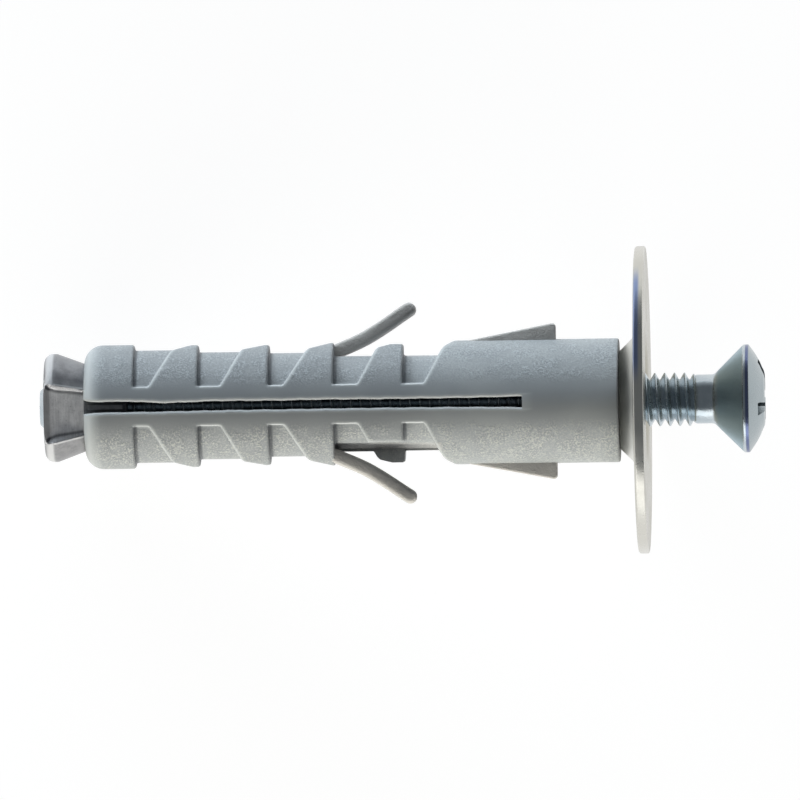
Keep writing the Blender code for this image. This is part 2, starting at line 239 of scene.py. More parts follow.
def skin_radius(angles, station, pocket, side):
    """A leg's outer radius at angles from the slot, inside the reach of one pocket or of none."""
    sleeve = np.full(len(angles), sleeve_radius(station))
    if pocket is None:
        return sleeve
    edge = pocket.edge(station)
    slope = flat_wall(edge, angles, 0.01)
    pitch = (pocket.edge(station + PITCH_STEP) - edge) / PITCH_STEP
    width = flat_wall(EDGE_ROUND * np.sqrt(np.cos(angles) ** 2 + pitch ** 2), angles, 0.01)
    radius = soft_least(sleeve, slope, np.clip(width, *EDGE_WIDTHS))
    radius = soft_most(radius, PLUG_RADIUS - pocket.depth, FLOOR_ROUND)
    if pocket not in (BARB_POCKET, LAST_POCKET):
        return radius
    turned = bed_angles(angles, side)
    bed_floor = flat_wall(BED_HEIGHT, turned + BED_LEAN, 0.2)
    bed = soft_most(flat_wall(BED_EDGE, turned, 0.1), bed_floor, BED_ROUND)
    open_above = slope if pocket is LAST_POCKET else 0
    bedded = np.where(bed > open_above, soft_least(radius, bed, EDGE_ROUND), radius)
    return np.where(turned < BED_WALL_ANGLE, bedded, radius)


def skin_painted_light(angles, row, side):
    """The skin's painted light: a painted highlight above 0 on raised edges, and painted shade below 0 in
    the foot of a catch face.
    """
    station, pocket = row[:2]
    step = PAINTED_LIGHT_REACH / PLUG_RADIUS
    here = skin_radius(angles, station, pocket, side)
    back = station - PAINTED_LIGHT_REACH
    behind = [skin_radius(angles + k * step, back, pocket_at(back), side) for k in (-1, 0, 1)]
    beside = [skin_radius(angles + k * step, station, pocket, side) for k in (-1, 1)]
    raised = np.clip((here - np.mean(behind + beside, 0)) / FULL_HIGHLIGHT_RISE, 0, 1)
    return raised - np.clip((behind[1] - here) / FULL_SHADE_DROP, 0, 1)


# Rows stand close together where the skin bends: on the nose and on both sides of each catch face.
NOSE_STATIONS = [0.01, 0.03, 0.07, 0.12, 0.2, 0.3, 0.42, 0.56, 0.72, 0.9, 1.1, 1.3, 1.7, 2.1, 2.5, 2.9]
SHORT_OF_CATCH = [0.2, 0.15, 0.11, 0.08, 0.055, 0.03, 0.012, 0.004]
PAST_CATCH = [0.004, 0.025, 0.05, 0.08, 0.12, 0.164]
CATCH_GAP = 0.004
CATCH_REACH = 0.3
FLOOR_STEP = 0.15
FLOOR_MARGIN = 0.25
SLOPE_STEP = 0.12
RAMP_MARGIN = 0.1
LAND_STEP = 0.25
LAST_LAND = 0.4
SLEEVE_STEP = 0.5
SLEEVE_GAP = 0.3
SLOT_END_GAP = 0.2


def leg_rows():
    """Each row's station, its pocket, the catch it is beside, and how far past or short of that catch."""
    rows = [(station, None, None, 0) for station in NOSE_STATIONS]
    before = None
    for number, pocket in enumerate(POCKETS):
        for short in SHORT_OF_CATCH:
            rows.append((pocket.station - short, before, pocket, CATCH_GAP - short))
        for past in PAST_CATCH:
            rows.append((pocket.station + past, pocket, pocket, past - CATCH_GAP))
        station = pocket.station + CATCH_REACH
        while station < pocket.foot - FLOOR_MARGIN:
            rows.append((station, pocket, None, 0))
            station += FLOOR_STEP
        last = pocket.end + LAST_LAND
        if pocket is not LAST_POCKET:
            last = POCKETS[number + 1].station - SHORT_OF_CATCH[0]
        while station < last:
            rows.append((station, pocket, None, 0))
            station += SLOPE_STEP if station < pocket.end + RAMP_MARGIN else LAND_STEP
        before = pocket
    station = rows[-1][0] + SLEEVE_GAP
    while station < SLOT_END - SLOT_END_GAP:
        rows.append((station, None, None, 0))
        station += SLEEVE_STEP
    rows.append((SLOT_END, None, None, 0))
    return rows


def leg_skin(angles, row, side):
    """The outer radius along one row, with the catch faces' edges rounded and their feet filleted."""
    station, pocket, catch, distance = row
    if catch is None:
        return skin_radius(angles, station, pocket, side)
    before = pocket_at(catch.station - 0.01)
    land = skin_radius(angles, catch.station, before, side)
    floor = skin_radius(angles, catch.station, catch, side)
    half_drop = np.maximum(land - floor, 0) / 2
    if station < catch.station:
        land_here = skin_radius(angles, station, before, side)
        return land_here - np.minimum(half_drop, rounded(CATCH_ROUND, -distance))
    floor_here = skin_radius(angles, station, catch, side)
    return floor_here + np.minimum(half_drop, rounded(CATCH_FILLET, distance))


# Half the slot's width at each of these stations, above its middle and below it.
SLOT_STATIONS = [0, 0.35, 0.75, 1.6, 3.4, 4.6, 5.9, 7.4, 9.5, 14, 17, 21, 26, 29.5, 31.13]
SLOT_UPPER = [0.5, 0.42, 0.38, 0.38, 0.37, 0.3, 0.23, 0.27, 0.33, 0.3, 0.33, 0.3, 0.31, 0.34, 0.37]
SLOT_LOWER = [0.5, 0.42, 0.38, 0.37, 0.36, 0.36, 0.34, 0.33, 0.31, 0.31, 0.3, 0.29, 0.31, 0.35, 0.4]
FLASH_WAVES = [(0.012, 2.9, 1), (0.007, 7.3, 2)]
BED_COLUMNS = 62
PLAIN_COLUMNS = 66
WALL_COLUMNS = 5
ROUND_COLUMNS = 5
BORE_COLUMNS = 24
BED_WALL_GAP = 0.001
LEAST_WALL = 0.02
SLOT_WALL_SHADE = (-0.5, -0.1)
LIP_HIGHLIGHT = 1.0
LIP_HIGHLIGHT_REACH = 0.12
BORE_SHADE = -0.4
BED_PAINTED_LIGHT = 0.4
BED_LIGHT_INSET = 0.1
BED_LIGHT_TURN = 0.3


def slot_half(station, side):
    """Half the slot's width on one side, a little wavy as the flash on the two legs leaves it."""
    half = float(np.interp(station, SLOT_STATIONS, SLOT_UPPER if side > 0 else SLOT_LOWER))
    for height, pitch, shift in FLASH_WAVES:
        half += height * math.sin(pitch * station + shift * side)
    return half


def leg_angles(first, side):
    """The angles of a row's points, with two of them close together at the bed's wall."""
    low = np.linspace(first, BED_WALL_ANGLE - BED_WALL_GAP, BED_COLUMNS)
    high = np.linspace(BED_WALL_ANGLE + BED_WALL_GAP, math.pi - first, PLAIN_COLUMNS)
    angles = np.concatenate([low, high])
    return angles if side < 0 else math.pi - angles[::-1]


def leg_ring(row, side):
    """One row round a leg: slot wall, rounded lip, skin, rounded lip, slot wall and bore."""
    station = row[0]
    half = slot_half(station, side)
    bore = max(BORE_RADIUS, SEAT_RADIUS - SEAT_TAPER * station)
    sleeve = sleeve_radius(station)
    first = math.asin((half + SLOT_ROUND) / sleeve)
    angles = leg_angles(first, side)
    radius = leg_skin(angles, row, side)
    out = sleeve * math.cos(first)
    inner = math.sqrt(bore ** 2 - half ** 2)
    wall_top = max(out - SLOT_ROUND, LEAST_WALL + inner)
    wall = [(-depth, half) for depth in np.linspace(inner, wall_top, WALL_COLUMNS)]
    lip = []
    for k in range(ROUND_COLUMNS):
        turn = math.pi / 2 * (k + 1) / (ROUND_COLUMNS + 1)
        depth = wall_top + (out - wall_top) * math.sin(turn)
        lip.append((-depth, half + SLOT_ROUND * (1 - math.cos(turn))))
    skin = [(-r * math.cos(a), r * math.sin(a)) for a, r in zip(angles, radius)]
    back = [(-x, y) for x, y in reversed(wall + lip)]
    start = math.asin(half / bore)
    turns = np.linspace(math.pi - start, start, BORE_COLUMNS)[1:-1]
    inside = [(-bore * math.cos(a), bore * math.sin(a)) for a in turns]
    # Painted shade on the slot walls and in the bore, and a painted highlight on the slot's rounded lips.
    edge = [*np.linspace(*SLOT_WALL_SHADE, WALL_COLUMNS), *[LIP_HIGHLIGHT] * ROUND_COLUMNS]
    from_lip = np.minimum(angles - angles[0], angles[-1] - angles) * sleeve
    lip_highlight = np.clip(1 - from_lip / LIP_HIGHLIGHT_REACH, 0, 1)
    skin_marks = np.clip(skin_painted_light(angles, row, side) + lip_highlight, -1, 1)
    painted_light = [*edge, *skin_marks, *edge[::-1], *[BORE_SHADE] * len(inside)]
    # Each barb's bed is painted paler: painted light in that recess.
    turned = bed_angles(angles, side)
    in_bed = radius * np.sin(turned) > BED_EDGE + BED_LIGHT_INSET
    in_bed &= turned < BED_WALL_ANGLE + BED_LIGHT_TURN
    in_bed &= BARB_POCKET.station < station < LAST_POCKET.foot + LAST_POCKET.slope_length
    pale = np.zeros(len(painted_light))
    pale[len(edge) : len(edge) + len(angles)] = np.where(in_bed, BED_PAINTED_LIGHT, 0.0)
    return [(x, y * side, station) for x, y in wall + lip + skin + back + inside], painted_light, pale


plug = Shell()
rows = leg_rows()
upper = [plug.ring(*leg_ring(row, 1)) for row in rows]
lower = [plug.ring(*leg_ring(row, -1)) for row in rows]
for leg in (upper, lower):
    plug.skin(leg)
    plug.faces.append(tuple(leg[0]))


# The closed end of the slot gets a painted highlight.
SLOT_END_HIGHLIGHT = 0.5
SKIN_BRIDGE = 5
BORE_BRIDGE = 2
SLEEVE_ROWS = 8
MOUTH_SHARES = (0.6, 0.3, 0.1, 0)


def bridge(first, last, count):
    """Points on the arc between two numbered points, across the closed end of the slot."""
    start, end = plug.angle(first), plug.angle(last)
    if end < start:
        end += 2 * math.pi
    radius = math.hypot(*plug.points[first][:2])
    angles = [start + (end - start) * (k + 1) / (count + 1) for k in range(count)]
    points = [(-radius * math.cos(a), radius * math.sin(a), SLOT_END) for a in angles]
    return plug.ring(points, SLOT_END_HIGHLIGHT)


skin_first = WALL_COLUMNS + ROUND_COLUMNS
skin_last = skin_first + BED_COLUMNS + PLAIN_COLUMNS - 1
wall_last = skin_last + skin_first
top, low = upper[-1], lower[-1]
near_skin = bridge(low[skin_first], top[skin_first], SKIN_BRIDGE)
far_skin = bridge(top[skin_last], low[skin_last], SKIN_BRIDGE)
near_bore = bridge(low[0], top[0], BORE_BRIDGE)
far_bore = bridge(top[wall_last], low[wall_last], BORE_BRIDGE)
near_end = top[: skin_first + 1] + near_skin[::-1] + low[skin_first::-1] + near_bore
far_end = top[skin_last : wall_last + 1] + far_bore + low[wall_last : skin_last - 1 : -1] + far_skin[::-1]
plug.faces += [tuple(near_end), tuple(far_end)]
skin_row = top[skin_first : skin_last + 1] + far_skin + low[skin_first : skin_last + 1][::-1] + near_skin
bore_row = [top[0], *top[wall_last + 1 :][::-1], top[wall_last], *far_bore]
bore_row += [low[wall_last], *low[wall_last + 1 :], low[0], *near_bore]
skin_turns = [plug.angle(number) for number in skin_row]
sleeve_stations = [*np.linspace(SLOT_END, MOUTH_STATION - MOUTH_ROUND, SLEEVE_ROWS + 1)[1:]]
sleeve_stations += [MOUTH_STATION - MOUTH_ROUND * share for share in MOUTH_SHARES]
sleeve_rows = [skin_row]
for station in sleeve_stations:
    radius = sleeve_radius(station)
    points = [(-radius * math.cos(a), radius * math.sin(a), station) for a in skin_turns]
    sleeve_rows.append(plug.ring(points))
plug.skin(sleeve_rows)
bore_end = plug.ring([(*plug.points[number][:2], MOUTH_STATION) for number in bore_row], BORE_SHADE)
plug.skin([bore_row, bore_end])
plug.zip_up(sleeve_rows[-1], bore_end)

# The barb's middle line as (station, height), from its root in the leg to its free end.
BARB_LINE = [
    (16.9, 3.45),
    (17.6, 3.68),
    (18.3, 3.97),
    (19.1, 4.3),
    (19.98, 4.72),
    (20.9, 5.27),
    (21.75, 5.83),
    (22.5, 6.35),
    (23.4, 6.93),
]
BARB_THICKNESS = 0.95
BARB_BOW = 0.3
BARB_WIDTH = 1.6
BARB_MIDDLE = 1.1
BARB_CORNER = 0.26
BARB_CORNER_SHARE = 0.45
BARB_RINGS = 30
TIP_RINGS = 8
SMOOTH_POINTS = 400
SMOOTH_REACH = 30


def rounded_box(width, height, corner, steps=5):
    """Points round a flat bar's section, from its centre."""
    points = []
    for sign_x, sign_y, start in ((1, 1, 0), (-1, 1, 1), (-1, -1, 2), (1, -1, 3)):
        for k in range(steps):
            angle = (start + k / (steps - 1)) * math.pi / 2
            x = sign_x * (width / 2 - corner) + corner * math.cos(angle)
            points.append((x, sign_y * (height / 2 - corner) + corner * math.sin(angle)))
    return points


def smooth_line(knots):
    """A fine smooth line through the knots, the direction at each of its points, and its length."""
    knots = np.array(knots)
    lengths = np.concatenate([[0], np.cumsum(np.hypot(*np.diff(knots, axis=0).T))])
    fine = np.linspace(0, lengths[-1], SMOOTH_POINTS)
    line = np.stack([np.interp(fine, lengths, knots[:, k]) for k in (0, 1)], 1)
    kernel = np.hanning(2 * SMOOTH_REACH + 1)
    kernel /= kernel.sum()
    padded = np.pad(line, ((SMOOTH_REACH, SMOOTH_REACH), (0, 0)), mode="reflect", reflect_type="odd")
    line = np.stack([np.convolve(padded[:, k], kernel, "valid") for k in (0, 1)], 1)
    ahead = np.gradient(line, axis=0)
    return line, ahead / np.hypot(*ahead.T)[:, None], lengths[-1]


line, ahead, barb_length = smooth_line(BARB_LINE)
half = BARB_THICKNESS / 2
stops = [(distance, 1.0) for distance in np.linspace(0, barb_length - half, BARB_RINGS)]
for k in range(1, TIP_RINGS):
    turn = math.pi / 2 * k / TIP_RINGS
    stops.append((barb_length - half + half * math.sin(turn), math.cos(turn)))
for side in (1, -1):
    rings = []
    for distance, scale in stops:
        place = round(distance / barb_length * (len(line) - 1))
        (station, height), (run, rise) = line[place], ahead[place]
        corner = min(BARB_CORNER, BARB_THICKNESS * scale * BARB_CORNER_SHARE)
        section = rounded_box(BARB_WIDTH - half * (1 - scale), BARB_THICKNESS * scale, corner)
        ring = []
        for x, up in section:
            lift = up - BARB_BOW * (BARB_MIDDLE + x) ** 2 / (2 * PLUG_RADIUS)
            ring.append((side * (BARB_MIDDLE + x), side * (height + lift * run), station - lift * rise))
        rings.append(ring)
    # The barbs are marked pale: painted light for light that shines through thin nylon.
    plug.tube(rings, 1.0)

FIN_WIDTH = 1.2
FIN_START = 26.6
FIN_END = 33.45
FIN_TOP = 5.6
FIN_CORNER = 0.32
FIN_RISE_START = 27.2
FIN_FOOT = PLUG_RADIUS - 0.5
FIN_SUNK = 0.02
FIN_LEAST_HEIGHT = 0.25
FIN_EDGE_ROUND = 0.16
FIN_EDGE_SHARE = 0.4
FIN_RINGS = 12
FIN_CORNER_RINGS = 6
fin_turns = [math.pi / 2 * (k + 1) / FIN_CORNER_RINGS for k in range(FIN_CORNER_RINGS)]
fin_stations = [*np.linspace(FIN_START, FIN_END - FIN_CORNER, FIN_RINGS)]
fin_stations += [FIN_END - FIN_CORNER * (1 - math.sin(turn)) for turn in fin_turns]
fin_drops = [0.0] * FIN_RINGS + [FIN_CORNER * (1 - math.cos(turn)) for turn in fin_turns]
for side in (1, -1):
    rings = []
    for station, drop in zip(fin_stations, fin_drops):
        share = (station - FIN_RISE_START) / (FIN_END - FIN_RISE_START)
        fin_top = PLUG_RADIUS - FIN_SUNK + (FIN_TOP - PLUG_RADIUS) * share - drop
        height = max(fin_top - FIN_FOOT, FIN_LEAST_HEIGHT)
        section = rounded_box(FIN_WIDTH, height, min(FIN_EDGE_ROUND, height * FIN_EDGE_SHARE))
        rings.append([(x, side * (FIN_FOOT + height / 2 + y), station) for x, y in section])
    # The fins are marked pale: painted light for light that shines through thin nylon.
    plug.tube(rings, 1.0)


class Wire:
    """A number that runs between nodes. Sums with it add the nodes that work them out."""

    def __init__(self, bench, socket):
        self.bench = bench
        self.socket = socket

    def also(self, name):
        """Another output of the node that this one comes from."""
        return Wire(self.bench, self.socket.node.outputs[name])

    def maths(self, operation, *terms):
        """This number and the others put through one operation."""
        values = dict(enumerate((self, *terms)))
        return self.bench.node("ShaderNodeMath", {"operation": operation}, values)

    def __add__(self, other):
        return self.maths("ADD", other)

    def __radd__(self, other):
        return self.maths("ADD", other)

    def __sub__(self, other):
        return self.maths("SUBTRACT", other)

    def __rsub__(self, other):
        return self.maths("MULTIPLY_ADD", -1.0, other)

    def __mul__(self, other):
        return self.maths("MULTIPLY", other)

    def __rmul__(self, other):
        return self.maths("MULTIPLY", other)

    def __truediv__(self, other):
        return self.maths("DIVIDE", other)

    def __pow__(self, other):
        return self.maths("POWER", other)

    def least(self, other):
        return self.maths("MINIMUM", other)

    def most(self, other):
        return self.maths("MAXIMUM", other)

    def between(self, low, high):
        """0 at low and below, 1 at high and above, and a smooth rise from one to the other."""
        sockets = {"Value": self, "From Min": low, "From Max": high}
        return self.bench.node("ShaderNodeMapRange", {"interpolation_type": "SMOOTHSTEP"}, sockets)


class Bench:
    """Where the nodes of one material or of one shape are set out."""

    def __init__(self, tree):
        self.tree = tree

    def node(self, kind, settings, sockets, output=0):
        """A new node with these settings, and with values or links in these sockets."""
        made = self.tree.nodes.new(kind)
        for name, value in settings.items():
            setattr(made, name, value)
        for name, value in sockets.items():
            if isinstance(value, Wire):
                self.tree.links.new(value.socket, made.inputs[name])
            else:
                made.inputs[name].default_value = value
        return Wire(self, made.outputs[output])

    def mix(self, share, first, second):
        """A colour between two colours."""
        first, second = [(*c, 1) if isinstance(c, tuple) else c for c in (first, second)]
        return self.node("ShaderNodeMix", {"data_type": "RGBA"}, {0: share, 6: first, 7: second}, 2)

    def vector(self, operation, *terms):
        """Vectors put through one operation."""
        return self.node("ShaderNodeVectorMath", {"operation": operation}, dict(enumerate(terms)))

    def noise(self, place, scale, detail=2.0, roughness=0.5):
        """Soft uneven patches, this many to a metre."""
        sockets = {"Vector": place, "Scale": scale, "Detail": detail, "Roughness": roughness}
        return self.node("ShaderNodeTexNoise", {}, sockets)

    def parts(self, vector):
        """The three coordinates of a vector."""
        first = self.node("ShaderNodeSeparateXYZ", {}, {0: vector})
        return [first.also(k) for k in range(3)]


class Finish(Bench):
    """A material, with its pattern laid out along the anchor's own line, in metres."""

    def __init__(self, name, metallic, roughness):
        self.material = bpy.data.materials.new(name)
        self.material.use_nodes = True
        super().__init__(self.material.node_tree)
        self.shader = self.tree.nodes["Principled BSDF"]
        self.shader.inputs["Metallic"].default_value = metallic
        self.shader.inputs["Roughness"].default_value = roughness
        own = self.node("ShaderNodeTexCoord", {}, {}, "Object")
        from_tip = self.vector("SUBTRACT", own, tuple(TIP_POINT))
        stood_up = {"Vector": from_tip, "Angle": math.atan2(TO_HEAD.z, TO_HEAD.x) - math.pi / 2}
        self.place = self.node("ShaderNodeVectorRotate", {"rotation_type": "Y_AXIS"}, stood_up)

    def mark(self, name):
        """One of the piece's own marks, such as its painted light."""
        return self.node("ShaderNodeAttribute", {"attribute_name": name}, {}, "Fac")

    def feed(self, socket, value):
        """Gives one of the surface's properties this value."""
        self.tree.links.new(value.socket, self.shader.inputs[socket])

    def relief(self, height, distance, strength=1.0):
        """Raises the surface by this height, which is 0 to 1, times the distance."""
        sockets = {"Height": height, "Distance": distance, "Strength": strength}
        self.feed("Normal", self.node("ShaderNodeBump", {}, sockets))


NYLON_DARK = (0.275, 0.29, 0.30)
NYLON_LIGHT = (0.305, 0.32, 0.328)
LEG_DARK = (0.215, 0.225, 0.235)
GRAIN_GLINT_LOWER = (0.50, 0.50, 0.465)
GRAIN_GLINT_UPPER = (0.44, 0.475, 0.51)
GRAIN_DARK = (0.16, 0.175, 0.185)
THIN_PAINTED_LIGHT = (0.47, 0.45, 0.43)
NOSE_PALE = (0.40, 0.41, 0.40)
EDGE_HIGHLIGHT = (0.52, 0.54, 0.545)
FOOT_SHADE = (0.05, 0.055, 0.065)
nylon = Finish("grey_nylon", metallic=0.0, roughness=0.46)
y, station = [part / MM for part in nylon.parts(nylon.place)[1:]]
painted_light = nylon.mark("painted_light")
cloud = nylon.noise(nylon.place, 260.0, 3.0)
grain = nylon.noise(nylon.place, 8000.0, 2.0, 0.6)
patches = nylon.noise(nylon.place, 900.0, 2.0).between(0.38, 0.6)
eroded = station.between(0.3, 1.1) * y.maths("ABSOLUTE").between(1.0, 2.2) * (0.35 + patches * 0.65)
# The grain's pale specks carry a painted glint: warm on the lower half and cool on the upper half, like the
# lamps there, and stronger below.
upper_half = y.between(-1.0, 1.0)
grain_glint = nylon.mix(upper_half, GRAIN_GLINT_LOWER, GRAIN_GLINT_UPPER)
body = nylon.mix(cloud.between(0.35, 0.65), NYLON_DARK, NYLON_LIGHT)
body = nylon.mix((1 - station.between(22.0, 26.0)) * 0.5, body, LEG_DARK)
body = nylon.mix(grain.between(0.5, 0.62) * eroded * (0.6 - upper_half * 0.15), body, grain_glint)
body = nylon.mix((1 - grain.between(0.36, 0.48)) * eroded * 0.45, body, GRAIN_DARK)
# Barbs, fins and beds are painted paler: painted light for light through thin nylon and into the beds.
body = nylon.mix(nylon.mark("pale") * 0.9, body, THIN_PAINTED_LIGHT)
body = nylon.mix((1 - station.between(0.3, 0.9)) * 0.3, body, NOSE_PALE)
# Painted highlight on raised edges and slot lips, and painted shade at the catch faces' feet, on the slot
# walls and in the bore.
body = nylon.mix(painted_light.most(0.0) * 0.65, body, EDGE_HIGHLIGHT)
body = nylon.mix((painted_light * -1.0).most(0.0) * 0.65, body, FOOT_SHADE)
nylon.feed("Base Color", body)
nylon.feed("Roughness", 0.55 - grain.between(0.45, 0.7) * 0.22)
nylon.relief(grain * eroded, 0.0001, 0.6)
nylon.shader.inputs["Specular IOR Level"].default_value = 0.45

plug_sleeve = plug.piece("nylon_plug", nylon, edge_angle=32)
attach(plug_sleeve, "plug")
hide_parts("plug_sleeve")

# Cone nut
# A tapered nut cast in zinc, which the screw draws into the plug to spread its legs. A flat face on two
# sides, with a raised ledge at each edge, and a key in each side of the slot keep it from turning.
PITCH = 0.7
THREAD_RADIUS = 1.91
THREAD_DEPTH = 0.49
CREST_STATION = 0.37
NUT_FRONT = -2.84
NUT_RIM = -1.94
NUT_RIM_ROUND = 0.6
WAIST_RADIUS = 3.1125
NUT_TAPER = 0.37
NOSE_TAPER = 0.25
NOSE_LENGTH = 3.05
PANEL_TURN = math.radians(-8)
PANEL_DEPTH = 0.8
PANEL_TAPER = 0.183
PANEL_LEDGE_FRONT = 2.2
PANEL_LEDGE_BACK = 1.62
LEDGE_WALL = 0.05
PANEL_ROUND = 0.04
PANEL_LEAST_COSINE = 0.3
NUT_COLUMNS = 480
NOSE_EDGE = 0.965
BORE_CLEARANCE = 0.06
BORE_STEPS = 64
BORE_ROWS = 98
KEY_FOOT = 2.2
KEY_WIDTH = 0.4
KEY_CORNER = 0.07
KEY_OUTLINE = [(0.1, 2.6), (0.16, 2.95), (0.4, 3.08), (1.4, 3.3)]
KEY_OUTLINE += [(2.4, 3.5), (2.72, 3.55), (2.84, 3.45), (2.9, 3.2)]
LEDGE_LIGHT = 0.09
LEDGE_SHADE = 0.16
FRONT_SHADE = 0.8
FRONT_SHADE_REACH = 0.55
FRONT_SHADE_FADE = 0.2
RIM_LIGHT_STATION = 0.4
RIM_LIGHT_REACH = 0.34
RIM_LIGHT_FADE = 0.15
RIM_LIGHT_DEPTH = 0.02
SIDE_SHADE = 0.75
SIDE_SHADE_PLACE = 0.55
SIDE_SHADE_REACH = 0.5


def cone_radius(station):
    """The nut's radius beside its flat faces: a taper, a round front rim and a waist into the nose."""
    if station > 0:
        return WAIST_RADIUS - NOSE_TAPER * station
    radius = WAIST_RADIUS - NUT_TAPER * max(station, NUT_RIM)
    return radius - rounded(NUT_RIM_ROUND, station - NUT_FRONT)


def fading(distance, reach):
    """1 at no distance, and 0 at this reach and beyond."""
    return np.clip(1 - np.abs(distance) / reach, 0, 1)


def nut_ring(station):
    """One row of the nut's skin, let in on two sides for the flat faces, with its painted light and how
    pale it is.
    """
    angles = np.linspace(0, 2 * math.pi, NUT_COLUMNS, endpoint=False)
    whole = cone_radius(station)
    radius = np.full(NUT_COLUMNS, whole)
    painted_light = np.zeros(NUT_COLUMNS)
    pale = np.zeros(NUT_COLUMNS)
    if station < 0:
        from_front = station - NUT_FRONT
        flat = WAIST_RADIUS - NUT_TAPER * NUT_RIM - PANEL_DEPTH - from_front * PANEL_TAPER
        ledge = PANEL_LEDGE_FRONT + (PANEL_LEDGE_BACK - PANEL_LEDGE_FRONT) * from_front / -NUT_FRONT
        for centre in (PANEL_TURN + math.pi, PANEL_TURN):
            off = (angles - centre + math.pi) % (2 * math.pi) - math.pi
            facing = np.cos(off) > PANEL_LEAST_COSINE
            from_ledge = np.abs(radius * np.sin(off)) - ledge
            inside = np.clip(-from_ledge / LEDGE_WALL, 0, 1)
            panel = flat / np.maximum(np.cos(off), PANEL_LEAST_COSINE)
            radius = radius + (soft_least(radius, panel, PANEL_ROUND) - radius) * inside * facing
            pale = pale + facing * inside
            # Painted highlight along the top of each ledge, and painted shade just below it and near the
            # front.
            painted_light = painted_light + facing * fading(from_ledge - LEDGE_LIGHT, LEDGE_LIGHT)
            painted_light = painted_light - facing * fading(from_ledge + LEDGE_SHADE, LEDGE_SHADE)
            near_front = np.clip((FRONT_SHADE_REACH - from_front) / FRONT_SHADE_FADE, 0, 1)
            painted_light = painted_light - FRONT_SHADE * near_front * facing * (from_ledge < 0)
        # A painted highlight on the round front rim.
        rim_share = (RIM_LIGHT_REACH - abs(from_front - RIM_LIGHT_STATION)) / RIM_LIGHT_FADE
        rim = (radius > whole - RIM_LIGHT_DEPTH) * np.clip(rim_share, 0, 1)
        painted_light = np.where(rim > 0, rim, painted_light)
        # The last of the two flat faces looks up: painted shade runs beside its ledge, towards the upper
        # barb.
        beside = facing * fading(from_ledge - SIDE_SHADE_PLACE, SIDE_SHADE_REACH) * (1 - rim)
        painted_light = painted_light - SIDE_SHADE * beside * (np.sin(angles) > 0)
    return [(-r * math.cos(a), r * math.sin(a), station) for a, r in zip(angles, radius)], painted_light, pale


def threaded_ring(station, radius):
    """A ring of a threaded bore, whose groove follows the screw's crest round."""
    angles = np.linspace(0, 2 * math.pi, BORE_STEPS, endpoint=False)
    phase = ((station - CREST_STATION) / PITCH - (math.pi - angles) / (2 * math.pi)) % 1
    radii = radius - THREAD_DEPTH * (1 - np.abs(2 * phase - 1))
    return [(-r * math.cos(a), r * math.sin(a), station) for a, r in zip(angles, radii)]


nut = Shell()
stations = [NUT_FRONT + NUT_RIM_ROUND * (1 - math.cos(math.pi / 2 * k / 8)) for k in range(9)]
stations += [*np.linspace(NUT_FRONT + NUT_RIM_ROUND, -0.2, 26)[1:]]
stations += [-0.08, 0.02, 0.6, 1.2, 1.8, 2.4, 2.9, 3.0]
nut_rows = [nut.ring(*nut_ring(station)) for station in stations]
nose = [nut.points[number][:2] for number in nut_rows[-1]]
nut_rows.append(nut.ring([(x * NOSE_EDGE, y * NOSE_EDGE, NOSE_LENGTH) for x, y in nose]))
nut.skin(nut_rows)
bore_stations = np.linspace(NUT_FRONT, NOSE_LENGTH, BORE_ROWS)
bore_radius = THREAD_RADIUS + BORE_CLEARANCE
bore_rows = [nut.ring(threaded_ring(station, bore_radius)) for station in bore_stations]
nut.skin(bore_rows)
nut.zip_up(nut_rows[0], bore_rows[0])
nut.zip_up(nut_rows[-1], bore_rows[-1])
for side in (1, -1):
    rings = []
    for station, height in KEY_OUTLINE:
        section = rounded_box(height - KEY_FOOT, KEY_WIDTH, KEY_CORNER)
        rings.append([(-side * ((height + KEY_FOOT) / 2 + x), y, station) for x, y in section])
    nut.tube(rings)

CAST_DARK = (0.19, 0.19, 0.20)
CAST_LIGHT = (0.30, 0.30, 0.31)
FACE_DARK = (0.58, 0.58, 0.60)
FACE_LIGHT = (0.72, 0.72, 0.74)
DRAWN_PALE = (0.84, 0.84, 0.86)
GRIT_DARK = (0.18, 0.18, 0.20)
NUT_HIGHLIGHT = (0.76, 0.76, 0.77)
NUT_SHADE = (0.08, 0.08, 0.09)
cast = Finish("cast_zinc", metallic=0.5, roughness=0.36)
mottle = cast.noise(cast.place, 1500.0, 4.0, 0.65)
grit = cast.noise(cast.place, 7000.0, 3.0, 0.6)
drawn = cast.noise(cast.vector("MULTIPLY", cast.place, (900.0, 900.0, 9000.0)), 1.0, 2.0)
painted_light = cast.mark("painted_light")
faces = cast.mark("pale")
cloud = mottle.between(0.3, 0.7)
metal = cast.mix(cloud, CAST_DARK, CAST_LIGHT)
metal = cast.mix(faces, metal, cast.mix(cloud, FACE_DARK, FACE_LIGHT))
metal = cast.mix(drawn.between(0.4, 0.65) * faces * 0.4, metal, DRAWN_PALE)
metal = cast.mix(grit.between(0.58, 0.75) * 0.4, metal, GRIT_DARK)
# Painted highlight and painted shade from the nut's marks.
metal = cast.mix(painted_light.most(0.0) * 0.65, metal, NUT_HIGHLIGHT)
metal = cast.mix((painted_light * -1.0).most(0.0) * 0.75, metal, NUT_SHADE)
cast.feed("Base Color", metal)
cast.feed("Roughness", 0.3 + cloud * 0.2)
cast.relief(drawn * 0.4 + mottle * 0.3 + grit * 0.3, 0.00008, 0.7)

cone_nut = nut.piece("cast_cone_nut", cast, edge_angle=35)
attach(cone_nut, "plug")
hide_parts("cone_nut")

